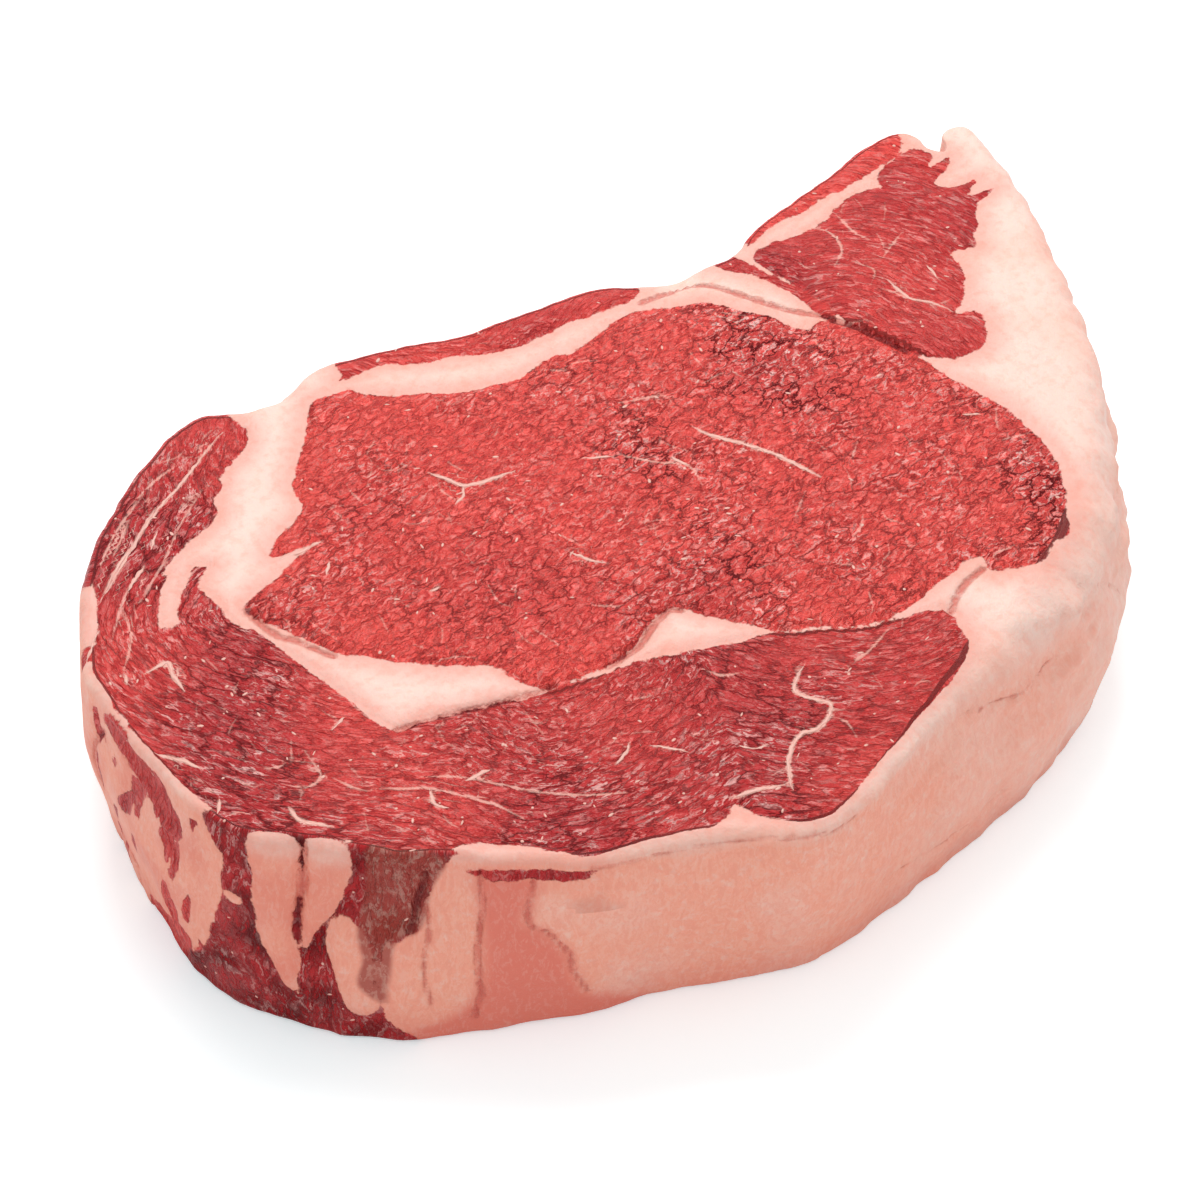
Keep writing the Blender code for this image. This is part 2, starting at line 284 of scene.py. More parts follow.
WALL_CREASES = (
    (((44.2, 33), (44.6, 26), (44, 18), (44.4, 10), (43, 4)), 0.3),
    (((36.4, 31.5), (37, 24), (36.2, 17), (36.8, 9)), 0.1),
    (((51.8, 32), (50.9, 24), (53.8, 21.5), (56.8, 17), (57.6, 12), (59.5, 7)), 0.15),
    (((18.9, 35.5), (18.9, 30), (18.3, 24), (17.9, 20)), 0.7),
    (((36.6, 32), (35.6, 27), (34, 22)), 0.6),
    (((60, 34.6), (72, 34.4), (86, 34.9), (100, 34.2)), -0.4),
    (((128, 31), (140, 27), (150, 26)), -0.4),
    (((158, 33), (166, 27), (171, 20)), -0.4),
    (((180, 30), (192, 26), (205, 27)), -0.5),
    (((108, 12), (122, 9), (135, 10)), -0.5),
    (((-23, 30), (-27, 22), (-24, 12), (-16, 6)), 0.25),
)


def curve_through(knots, closed, steps=16):
    """Points of the Catmull-Rom curve through the knots. Columns after x and y are carried along."""
    knots = np.array(knots, float)
    count = len(knots)
    spans = count if closed else count - 1
    share = np.linspace(0.0, 1.0, steps, endpoint=False)[:, None]
    found = []
    for i in range(spans):
        picks = [i - 1, i, i + 1, i + 2]
        picks = [p % count if closed else min(max(p, 0), count - 1) for p in picks]
        before, start, end, after = knots[picks]
        found.append(
            start
            + 0.5 * share * (end - before)
            + share**2 * (before - 2.5 * start + 2 * end - 0.5 * after)
            + share**3 * (1.5 * (start - end) + 0.5 * (after - before))
        )
    points = np.concatenate(found)
    return points if closed else np.vstack([points, knots[-1]])


def spread_evenly(ring, count):
    """A closed ring's rows, resampled to the given number of even steps along it."""
    loop = np.vstack([ring, ring[:1]])
    along = np.concatenate([[0.0], np.cumsum(np.linalg.norm(np.diff(loop[:, :2], axis=0), axis=1))])
    at = np.linspace(0.0, along[-1], count, endpoint=False)
    return np.stack([np.interp(at, along, column) for column in loop.T], axis=1)


def outward(ring):
    """Unit normals of a clockwise ring, pointing away from its inside."""
    ahead = np.roll(ring[:, :2], -1, axis=0) - np.roll(ring[:, :2], 1, axis=0)
    normals = np.stack([-ahead[:, 1], ahead[:, 0]], axis=1)
    return normals / np.linalg.norm(normals, axis=1, keepdims=True)


def offset_to(points, line):
    """The vector to each point from the nearest place on a polyline, and its length."""
    offset = np.full((len(points), 2), np.inf)
    nearest = np.full(len(points), np.inf)
    for start, end in zip(line[:-1], line[1:]):
        run = end - start
        share = np.clip((points - start) @ run / (run @ run), 0.0, 1.0)
        away = points - start - share[:, None] * run
        gap = np.linalg.norm(away, axis=1)
        closer = gap < nearest
        nearest[closer] = gap[closer]
        offset[closer] = away[closer]
    return offset, nearest


def gap_to(points, line):
    return offset_to(points, line)[1]


def depth_inside(points, outline):
    """How far inside a closed outline each point is, negative outside."""
    outline = curve_through(outline, closed=True, steps=4)
    loop = np.vstack([outline, outline[:1]])
    inside = np.zeros(len(points), bool)
    x, y = points.T
    for (ax, ay), (bx, by) in zip(loop[:-1], loop[1:]):
        if ay == by:
            continue
        crosses = (ay > y) != (by > y)
        inside ^= crosses & (x < (bx - ax) * (y - ay) / (by - ay) + ax)
    gap = gap_to(points, loop)
    return np.where(inside, gap, -gap)


def rough(points, size, seed):
    """Smooth noise from about -1 to 1 at each point, whose bumps are about the given size."""
    return np.array([noise.noise(Vector(p) / size + Vector((seed, seed, seed))) for p in points])


def as_3d(points):
    return np.column_stack([points, np.zeros(len(points))])


def ramp(values, start, end):
    """Goes from 0 to 1 as the values go from start to end, and stays there."""
    return np.clip((values - start) / (end - start), 0.0, 1.0)


# The direction, from the middle of the eye, in which there is only fat: the fibres' seam is there.
SEAM_SIDE = (0.97, -0.24)
# How far the fibres of the outer muscles run for each radian round the eye, and how much longer
# than wide the bundles of the eye are.
FIBRE_RUN = 24.0
EYE_STRETCH = (0.6, 1.0)
# On the wall the bundles stand upright.
WALL_STRETCH = (0.8, 0.35)
# The depth of an ordinary crease, and how much narrower one gets for each millimetre less of depth.
CREASE_DEPTH, CREASE_SPREAD = 0.7, 0.5
# How many short fine veins there are, and the seed of their places.
SMALL_VEINS, SMALL_VEIN_SEED = 420, 5
# The stretch of the wall whose patches are laid out, in millimetres along it. The rest of the wall
# carries the muscles and fat of the upper face down through the thickness.
LAID_OUT = (-32.0, 262.0)
# The left end of it, which has red smears, and the top of them.
SMEARS_TO, SMEARS_TOP = 7.0, 33.0
# Bump size and seed of the broad patches, the drift of edges and the clouds in the fat.
SLOW_NOISES = ((22.0, 40.0), (5.5, 50.0), (11.0, 60.0))


class Field:
    """The looks' values at each vertex: what a material reads, and how far the surface is moved."""

    def __init__(self, count):
        self.fat = np.full(count, 3.0)
        self.dark = np.zeros(count)
        self.crackle = np.zeros(count)
        self.skin = np.zeros(count)
        self.salmon = np.zeros(count)
        self.membrane = np.full(count, -3.0)
        self.crease = np.full(count, 9.0)
        self.vein = np.full((count, 2), 9.0)
        self.vein_gap = np.full(count, 9.0)
        self.vein_half = np.zeros(count)
        self.grain = np.zeros((count, 3))
        self.slow = np.zeros((count, 3))
        self.lift = np.zeros(count)


def paint_cut_face(field, picks, points, seed, veins):
    """Fills in the field on one cut face."""
    lean = np.full(len(points), -9.0)
    for outline, dark, crackle in MUSCLES:
        depth = depth_inside(points, outline)
        better = depth > lean
        lean[better] = depth[better]
        field.dark[picks[better]] = dark
        field.crackle[picks[better]] = crackle
    for line, half in FAT_TONGUES:
        gap = gap_to(points, curve_through(line, closed=False, steps=4))
        lean = np.minimum(lean, gap - half)
    field.fat[picks] = -lean
    paint_creases(field, picks, points, CREASES)
    if veins:
        paint_veins(field, picks, points)
    eye_depth = depth_inside(points, EYE)
    in_eye = eye_depth > -1.0
    x, y = points.T
    across = y * SEAM_SIDE[0] - x * SEAM_SIDE[1]
    towards = -x * SEAM_SIDE[0] - y * SEAM_SIDE[1]
    around = np.arctan2(across, towards)
    grain = as_3d(np.column_stack([around * FIBRE_RUN, -eye_depth]))
    grain[in_eye] = as_3d(points[in_eye] * EYE_STRETCH)
    field.grain[picks] = grain
    eye_crack = 0.65 + 0.5 * ramp(points[:, 0], -5.0, 15.0)
    field.crackle[picks[in_eye]] = eye_crack[in_eye]
    groove = np.exp(-((lean / 1.1) ** 2))
    swell = rough(as_3d(points), 9.0, seed) * 0.22 + rough(as_3d(points), 3.2, seed + 5) * 0.12
    fat_swell = rough(as_3d(points), 14.0, seed + 9) * 0.2
    field.lift[picks] = np.where(lean > 0, swell, fat_swell) - 0.3 * groove
    field.lift[picks] += 0.25 * ramp(lean, 0.0, 4.0)
    field.lift[picks] -= 0.6 * np.exp(-((field.crease[picks] / 0.6) ** 2))


def paint_creases(field, picks, points, creases):
    """Notes how near each point is to a crease, less for the shallow ones."""
    for line, depth in creases:
        gap = gap_to(points, curve_through(line, closed=False, steps=4))
        gap = gap + CREASE_SPREAD * (CREASE_DEPTH - depth)
        field.crease[picks] = np.minimum(field.crease[picks], gap)


def small_veins(count, seed):
    """Short fine veins at random places, lying more or less along the fibres."""
    rng = np.random.default_rng(seed)
    found = []
    while len(found) < count:
        start = rng.uniform((-80.0, -64.0), (100.0, 58.0))
        heading = math.atan2(start[1], start[0]) + math.pi / 2 + rng.normal(0.0, 0.5)
        length = rng.uniform(1.5, 6.0)
        path = [start]
        for _ in range(3):
            heading += rng.normal(0.0, 0.35)
            path.append(path[-1] + length / 3 * np.array([math.cos(heading), math.sin(heading)]))
        found.append((path, rng.uniform(0.1, 0.28)))
    return found


def paint_veins(field, picks, points):
    """Gives each point near a vein the way to its line and the vein's half width there."""
    for line, half in [*VEINS, *small_veins(SMALL_VEINS, SMALL_VEIN_SEED)]:
        path = curve_through(line, closed=False, steps=4)
        low, high = path.min(axis=0) - 4.0, path.max(axis=0) + 4.0
        near = np.nonzero(((points > low) & (points < high)).all(axis=1))[0]
        offset, gap = offset_to(points[near], path)
        ends = np.minimum(
            np.linalg.norm(points[near] - path[0], axis=1),
            np.linalg.norm(points[near] - path[-1], axis=1),
        )
        slim = 0.75 * half * (0.3 + 0.7 * ramp(ends, 0.0, 3.0))
        at = picks[near]
        closer = gap - slim < field.vein_gap[at] - field.vein_half[at]
        at, gap, offset, slim = at[closer], gap[closer], offset[closer], slim[closer]
        field.vein_gap[at] = gap
        field.vein[at] = offset
        field.vein_half[at] = slim


def paint_wall(field, picks, along, height, turn, top_fat, total, seed):
    """Fills in the field on the wall. along runs from the left end round the front."""
    wrapped = np.where(along > total * 0.8, along - total, along)
    flat = np.column_stack([wrapped, height])
    wobble = np.column_stack([rough(as_3d(flat), 5.0, seed), rough(as_3d(flat), 5.0, seed + 3)])
    flat = flat + 0.5 * wobble
    fat = wall_fat(flat, along, wrapped, height, top_fat, seed)
    field.fat[picks] = fat

    in_front_lean = depth_inside(flat, WALL_LEAN[0]) > 0
    deepness = 1.45 + 0.9 * rough(as_3d(flat), 5.0, seed + 51)
    field.dark[picks] = np.where(in_front_lean, deepness, 0.7)
    field.crackle[picks] = np.where(in_front_lean, 0.4, 0.3)
    bruised = np.where(depth_inside(flat, WALL_BRUISE) > 0, -0.45, -3.0)
    field.membrane[picks] = np.maximum(depth_inside(flat, WALL_MEMBRANE), bruised)

    lobe = np.maximum(depth_inside(flat, WALL_FAT[0]), depth_inside(flat, WALL_FAT[1]))
    on_lobe = ramp(lobe, -1.0, 0.0)
    left_end = ramp(wrapped, 6.0, 2.0) * (wrapped > LAID_OUT[0])
    blotch = np.clip(0.5 + 1.6 * rough(as_3d(flat), 6.0, seed + 47), 0, 1)
    stains_and_low_shade = 0.5 * on_lobe * (0.4 + 0.8 * blotch) + 0.5 * left_end * blotch
    # The lobe and left-end stains are real. The added term is painted shade: the lowest 9 mm of the wall is
    # pulled towards the wet-fat colour, darker towards the bottom where the foot curves under.
    stains_and_low_shade = stains_and_low_shade * ramp(height, 35.0, 32.0) + 0.4 * ramp(height, 9.0, 0.0)
    salmon = ramp(depth_inside(flat, WALL_SALMON), -1.5, 1.5)
    field.salmon[picks] = np.clip(np.maximum(salmon, stains_and_low_shade), 0, 1)

    # Painted light: from 105 to 170 mm along, the peach skin of the fat fades towards the paler cut-fat
    # colour, so the right of the wall looks more brightly lit.
    right_side_painted_light = 1.0 - 0.68 * ramp(wrapped, 105.0, 170.0)
    creamy = 1.0 - 0.6 * on_lobe * ramp(height, 31.5, 34.5)
    field.skin[picks] = np.clip((1.0 - turn / (math.pi / 2)) ** 1.5, 0, 1) * right_side_painted_light * creamy
    paint_creases(field, picks, flat, WALL_CREASES)
    field.grain[picks] = as_3d(np.column_stack([wrapped, height]) * WALL_STRETCH)
    field.lift[picks] = wall_lift(flat, wrapped, height, fat, field.crease[picks], seed)


def wall_fat(flat, along, wrapped, height, top_fat, seed):
    """How deep in fat each place of the wall is, negative in lean."""
    laid_out = (wrapped > LAID_OUT[0]) & (wrapped < LAID_OUT[1])
    spot = as_3d(np.column_stack([along / 11.0 + height / 40.0, height / 26.0]))
    hidden = 0.9 + 3.4 * rough(spot, 1.0, seed + 11)
    continued = np.clip(top_fat, -3.0, 3.0) * np.clip(height / 36.0, 0.25, 1)
    fat = np.where(laid_out, 4.0, continued + hidden)
    for outline in WALL_LEAN:
        fat = np.minimum(fat, -depth_inside(flat, outline))
    for outline in WALL_FAT:
        fat = np.maximum(fat, depth_inside(flat, outline))
    smears = 1.1 + 4.0 * rough(as_3d(flat * (1.5, 0.5)), 4.0, seed + 43)
    smeared = (wrapped > LAID_OUT[0]) & (wrapped < SMEARS_TO) & (height < SMEARS_TOP)
    fat = np.where(smeared, np.minimum(fat, smears), fat)
    near_top = ramp(height, 30.0, 35.0)
    return np.where(laid_out, fat, fat * (1 - near_top) + top_fat * near_top)


def wall_lift(flat, wrapped, height, fat, crease, seed):
    """How far the wall stands proud: swells, the lobes of fat, folds on the fat cap, and creases."""
    places = as_3d(flat)
    lobes = np.zeros(len(flat))
    for outline in WALL_FAT[:3]:
        inner = np.clip(depth_inside(flat, outline), 0, 3)
        lobes = np.maximum(lobes, 1.0 - np.exp(-inner / 1.2))
    swell = rough(places, 12.0, seed + 21) * 0.55 + rough(places, 4.0, seed + 31) * 0.12
    fat_cap = ramp(wrapped, 95.0, 125.0) * ramp(wrapped, 265.0, 245.0)
    swell += fat_cap * (rough(places, 5.0, seed + 61) * 0.6 + rough(places, 2.0, seed + 63) * 0.2)
    folds = rough(as_3d(flat * (0.5, 1.6)), 5.0, seed + 67)
    swell += fat_cap * 2.0 * np.clip(folds - 0.05, 0, 1) * ramp(height, 14.0, 22.0)
    sunk = ramp(fat, 0.0, -2.0)
    lift = swell + 0.9 * lobes - 0.7 * sunk - 0.6 * np.exp(-((crease / 0.8) ** 2))
    return lift * ramp(height, 36.0, 34.8) * ramp(height, 0.0, 2.0)


def ragged_rim(columns):
    """The rim of the cut face with the small unevenness of a knife cut, its normals and its room."""
    rim = spread_evenly(curve_through(RIM, closed=True), columns)
    normals = outward(rim)
    room = room_inside(rim)
    spots = as_3d(rim[:, :2])
    push = 0.45 * rough(spots, 6.0, 2.0) + 0.2 * rough(spots, 2.3, 7.0)
    rim[:, :2] += normals * push[:, None]
    return rim, normals, room


def room_inside(rim):
    """How far inwards each place of the rim can be moved before its narrow tips would cross."""
    normals = outward(rim)
    before, after = np.roll(normals, 2, axis=0), np.roll(normals, -2, axis=0)
    sine = before[:, 0] * after[:, 1] - before[:, 1] * after[:, 0]
    cosine = (before * after).sum(axis=1)
    step = np.linalg.norm(rim[1, :2] - rim[0, :2])
    bend = np.maximum(-np.arctan2(sine, cosine) / (4 * step), 1e-3)
    room = 0.7 / bend
    around = [np.roll(room, i) for i in range(-5, 6)]
    least = np.min(around, axis=0)
    return np.mean([np.roll(least, i) for i in range(-4, 5)], axis=0)


def wall_sections(rim, normals, room, thickness, wall_rows):
    """Rings of the wall from the upper face down: rows of x, y, z and the turn of the surface."""
    place, foot, radius = rim[:, :2], np.maximum(rim[:, 2], -0.5 * room), np.minimum(rim[:, 3], room)
    foot_round = np.minimum(FOOT_ROUND, 0.5 * room)
    bulge = BULGE_LEAST + BULGE_PER_ROUND * radius
    rings = []
    for turn in np.linspace(0.0, math.pi / 2, EDGE_ROWS, endpoint=False):
        inset = radius * (1 - math.sin(turn))
        height = thickness - radius * (1 - math.cos(turn))
        rings.append((-inset, height, math.pi / 2 - turn))
    for share in np.linspace(0.0, 1.0, wall_rows):
        reach = foot * share * share * (3 - 2 * share) + bulge * math.sin(math.pi * share)
        height = thickness - radius - (thickness - radius - foot_round) * share
        rings.append((reach, height, 0.0))
    for turn in np.linspace(0.0, math.pi / 2, FOOT_ROWS + 1)[1:]:
        reach = foot - foot_round * (1 - math.cos(turn))
        height = foot_round * (1 - math.sin(turn))
        rings.append((reach, height, -turn))
    sections = []
    for reach, height, turn in rings:
        turns = np.full(len(rim), turn)
        sections.append(np.column_stack([place + normals * reach[:, None], height, turns]))
    return sections


def cut_face(ring, spacing):
    """Triangles that fill a ring: (points, faces), the ring's own points first and in order."""
    low, high = ring.min(axis=0), ring.max(axis=0)
    rows = np.arange(low[1], high[1], spacing * math.sqrt(3) / 2)
    columns = np.arange(low[0], high[0], spacing)
    grid = np.array([(x + i % 2 * spacing / 2, y) for i, y in enumerate(rows) for x in columns])
    grid = grid[gap_to(grid, np.vstack([ring, ring[:1]])) > LEAST_GAP * spacing]
    every = [Vector(p) for p in np.vstack([ring, grid])]
    border = [list(range(len(ring)))]
    _, _, faces, origins, _, _ = delaunay_2d_cdt(every, [], border, 1, 1e-6)
    source = [origin[0] for origin in origins]
    used = sorted({source[v] for face in faces for v in face})
    place = {v: i for i, v in enumerate(used)}
    triangles = [[place[source[v]] for v in face] for face in faces]
    return np.array([every[v][:] for v in used]), triangles


def broad_relief(points, inset):
    """The slow swell of the cut face that the solid has too, without its seams."""
    x, y = points.T
    height = 0.6 * (np.sin(x / 31.0 + 0.6) * np.cos(y / 27.0) + 0.4 * np.sin(y / 13.0 - x / 47.0))
    return height * np.clip(inset / 3.6, 0.0, 1.0)


def cut_steak(form):
    """The fine mesh of the whole steak, and how far it was moved in plan to sit on the solid."""
    thickness = form.thickness / MM
    rim, normals, room = ragged_rim(form.wall_columns)
    columns = len(rim)
    step = np.linalg.norm(np.roll(rim[:, :2], -1, axis=0) - rim[:, :2], axis=1)
    total = step.sum()
    along = (total - np.concatenate([[0.0], np.cumsum(step)[:-1]])) % total
    sections = wall_sections(rim, normals, room, thickness, form.wall_rows)
    rows = len(sections)
    wall = np.concatenate(sections)
    top_points, top_faces = cut_face(sections[0][:, :2], form.top_spacing / MM)
    base_points, base_faces = cut_face(sections[-1][:, :2], form.base_spacing / MM)
    top_extra = top_points[columns:]
    base_extra = base_points[columns:]
    count = len(wall) + len(top_extra) + len(base_extra)
    field = Field(count)
    wall_at = np.arange(len(wall))
    top_at = len(wall) + np.arange(len(top_extra))
    base_at = len(wall) + len(top_extra) + np.arange(len(base_extra))

    ring_field = Field(columns)
    paint_cut_face(ring_field, np.arange(columns), sections[0][:, :2], 1.0, veins=False)
    ring_fat = np.tile(ring_field.fat, rows)
    paint_wall(field, wall_at, np.tile(along, rows), wall[:, 2], wall[:, 3], ring_fat, total, 4.0)
    blend = ramp(wall[:, 3] / (math.pi / 2), 0.55, 1.0)
    for name in ("fat", "dark", "crackle"):
        top_value = np.tile(getattr(ring_field, name), rows)
        value = getattr(field, name)
        value[wall_at] = value[wall_at] * (1 - blend) + top_value * blend
    field.grain[wall_at[:columns]] = ring_field.grain
    paint_cut_face(field, top_at, top_extra, 1.0, veins=True)
    paint_cut_face(field, base_at, base_extra, 17.0, veins=True)

    closed = np.vstack([sections[0][:, :2], sections[0][:1, :2]])
    inset = gap_to(top_extra, closed)
    top_z = thickness + broad_relief(top_extra, inset) + field.lift[top_at] * np.clip(inset / 1.5, 0, 1)
    turn = wall[:, 3]
    push = field.lift[wall_at]
    side = np.tile(normals, (rows, 1)) * (push * np.cos(turn))[:, None]
    wall_points = np.column_stack([wall[:, :2] + side, wall[:, 2] + push * np.sin(turn)])
    places = np.vstack([wall_points, np.column_stack([top_extra, top_z]), as_3d(base_extra)])
    for column, (size, seed) in enumerate(SLOW_NOISES):
        field.slow[:, column] = rough(places, size, seed)

    faces = []
    for row in range(rows - 1):
        for i in range(columns):
            j = (i + 1) % columns
            upper, lower = row * columns, (row + 1) * columns
            faces.append((upper + i, upper + j, lower + j, lower + i))
    last = (rows - 1) * columns
    top_index = np.concatenate([np.arange(columns), top_at])
    base_index = np.concatenate([last + np.arange(columns), base_at])
    faces += [tuple(top_index[v] for v in face) for face in top_faces]
    faces += [tuple(base_index[v] for v in reversed(face)) for face in base_faces]
    mesh = bpy.data.meshes.new("steak_meat")
    low, high = places.min(axis=0), places.max(axis=0)
    shift = frame_middle() - (low + high)[:2] / 2
    places[:, :2] += shift
    mesh.from_pydata((places * MM).tolist(), [], faces)
    mesh.validate()
    store_field(mesh, field)
    mesh.shade_smooth()
    steak = bpy.data.objects.new("steak_meat", mesh)
    bpy.context.scene.collection.objects.link(steak)
    return steak, shift


def frame_middle():
    """The middle of the solid's box in plan, in millimetres."""
    low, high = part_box(NODE)
    return np.array([(low.x + high.x) / 2, (low.y + high.y) / 2]) / MM


def store_field(mesh, field):
    for name in ("fat", "dark", "crackle", "skin", "salmon", "membrane", "crease", "vein_gap", "vein_half"):
        layer = mesh.attributes.new(name, "FLOAT", "POINT")
        layer.data.foreach_set("value", getattr(field, name).astype(np.float32))
    vein = np.column_stack([field.vein, np.zeros(len(field.vein))])
    for name, values in (("vein", vein), ("grain", field.grain), ("slow", field.slow)):
        layer = mesh.attributes.new(name, "FLOAT_VECTOR", "POINT")
        layer.data.foreach_set("vector", values.astype(np.float32).ravel())


def new_tree(name, kind, inputs, outputs):
    """A new node tree with named sockets: (its wiring, its inputs)."""
    tree = bpy.data.node_groups.new(name, kind + "NodeTree")
    for way, sockets in (("INPUT", inputs), ("OUTPUT", outputs)):
        for socket, sort in sockets.items():
            tree.interface.new_socket(socket, in_out=way, socket_type="NodeSocket" + sort)
    return Wiring(tree), tree.nodes.new("NodeGroupInput").outputs


class Wiring:
    """A short way to add nodes to a tree. Inputs are other nodes' outputs or plain values."""

    def __init__(self, tree):
        self.tree = tree

    def add(self, kind, inputs=None, **settings):
        node = self.tree.nodes.new(kind)
        for name, value in settings.items():
            setattr(node, name, value)
        for name, value in (inputs or {}).items():
            socket = node.inputs[name]
            if isinstance(value, bpy.types.NodeSocket):
                self.tree.links.new(value, socket)
            else:
                socket.default_value = value
        return node

    def math(self, operation, a, b=0.0, c=0.0, clamp=False):
        node = self.add("ShaderNodeMath", {0: a, 1: b, 2: c}, operation=operation, use_clamp=clamp)
        return node.outputs[0]

    def step(self, value, start, end, low=0.0, high=1.0):
        """Goes smoothly from low to high as value goes from start to end."""
        node = self.add(
            "ShaderNodeMapRange",
            {"Value": value, "From Min": start, "From Max": end, "To Min": low, "To Max": high},
            interpolation_type="SMOOTHSTEP",
        )
        return node.outputs["Result"]

    def mix(self, share, a, b):
        node = self.add("ShaderNodeMix", data_type="RGBA")
        for index, value in ((0, share), (6, a), (7, b)):
            if isinstance(value, bpy.types.NodeSocket):
                self.tree.links.new(value, node.inputs[index])
            elif index == 0:
                node.inputs[index].default_value = value
            else:
                node.inputs[index].default_value = (*value[:3], 1.0)
        return node.outputs[2]

    def value(self, name):
        return self.add("ShaderNodeAttribute", attribute_name=name).outputs["Fac"]

    def vector(self, name):
        return self.add("ShaderNodeAttribute", attribute_name=name).outputs["Vector"]

    def noise(self, at, scale, detail=2.0, roughness=0.5, space="3D", output="Fac"):
        node = self.add(
            "ShaderNodeTexNoise",
            {"Vector": at, "Scale": scale, "Detail": detail, "Roughness": roughness},
            noise_dimensions=space,
        )
        return node.outputs[output]

    def stretch(self, at, scale):
        return self.add("ShaderNodeVectorMath", {0: at, 1: scale}, operation="MULTIPLY").outputs[0]

    def shift(self, at, by):
        return self.add("ShaderNodeVectorMath", {0: at, 1: by}, operation="ADD").outputs[0]

    def scaled(self, vector, by):
        node = self.add("ShaderNodeVectorMath", {0: vector, "Scale": by}, operation="SCALE")
        return node.outputs[0]

    def result(self, name, value):
        """Sends a value out of the tree."""
        ends = [node for node in self.tree.nodes if node.bl_idname == "NodeGroupOutput"]
        end = ends[0] if ends else self.tree.nodes.new("NodeGroupOutput")
        self.tree.links.new(value, end.inputs[name])


def bundle_group():
    """Muscle bundles: rounded cells parted by thin wavy cracks, at one size."""
    s, given = new_tree(
        "muscle_bundles",
        "Shader",
        {"Place": "Vector", "Per Metre": "Float", "Crack Width": "Float"},
        {"Crack": "Float", "Round": "Float"},
    )
    cells = s.add(
        "ShaderNodeTexVoronoi",
        {"Vector": given["Place"], "Scale": given["Per Metre"]},
        feature="DISTANCE_TO_EDGE",
        voronoi_dimensions="2D",
    )
    edge = cells.outputs["Distance"]
    s.result("Crack", s.step(edge, 0.0, given["Crack Width"], 1.0, 0.0))
    s.result("Round", s.step(edge, 0.0, 0.3))
    return s.tree


def fat_group():
    """The colour of fat: pale where it is cut, peach and mottled on its outer skin."""
    s, given = new_tree(
        "fat_colour",
        "Shader",
        {"Fine": "Float", "Cloud": "Float", "Skin": "Float", "Cut Fat": "Color", "Skin Fat": "Color"},
        {"Colour": "Color"},
    )
    skin = s.math("ADD", given["Skin"], s.math("MULTIPLY", given["Cloud"], 0.45), clamp=True)
    colour = s.mix(skin, given["Cut Fat"], given["Skin Fat"])
    blush = s.step(given["Fine"], 0.55, 0.3, 0.0, 0.3)
    colour = s.mix(blush, colour, given["Skin Fat"])
    pale = s.step(given["Fine"], 0.52, 0.72, 0.0, 0.35)
    s.result("Colour", s.mix(pale, colour, given["Cut Fat"]))
    return s.tree


def shared_group(name, build):
    return bpy.data.node_groups.get(name) or build()


def add_fat(s, fine, cloud, skin, colours):
    """The colour of fat, from the shared group."""
    fat = s.add("ShaderNodeGroup", node_tree=shared_group("fat_colour", fat_group))
    for name, value in (("Fine", fine), ("Cloud", cloud), ("Skin", skin)):
        if isinstance(value, bpy.types.NodeSocket):
            s.tree.links.new(value, fat.inputs[name])
        else:
            fat.inputs[name].default_value = value
    fat.inputs["Cut Fat"].default_value = (*colours.cut_fat, 1.0)
    fat.inputs["Skin Fat"].default_value = (*colours.skin_fat, 1.0)
    return fat.outputs["Colour"]


def add_bundles(s, place, per_metre, width):
    """Cracks and rounded bundles at one size, from the shared group."""
    bundles = s.add("ShaderNodeGroup", node_tree=shared_group("muscle_bundles", bundle_group))
    s.tree.links.new(place, bundles.inputs["Place"])
    bundles.inputs["Per Metre"].default_value = per_metre
    bundles.inputs["Crack Width"].default_value = width
    return bundles.outputs["Crack"], bundles.outputs["Round"]


# How many bumps a metre the noises and cells of the meat have, and how wide its cracks are, as a
# share of a cell.
FIBRE_BENDS, FINE_NOISE, SPECKLES = 380.0, 620.0, 1500.0
LONG_CELLS, LONG_CRACK = 380.0, 0.10
SHORT_CELLS, SHORT_CRACK = 900.0, 0.17
# How far the bundles are bent, in metres, and how deep the finest relief is.
BEND = (0.0036, 0.0036, 0.0)
FINE_RELIEF = 0.0005


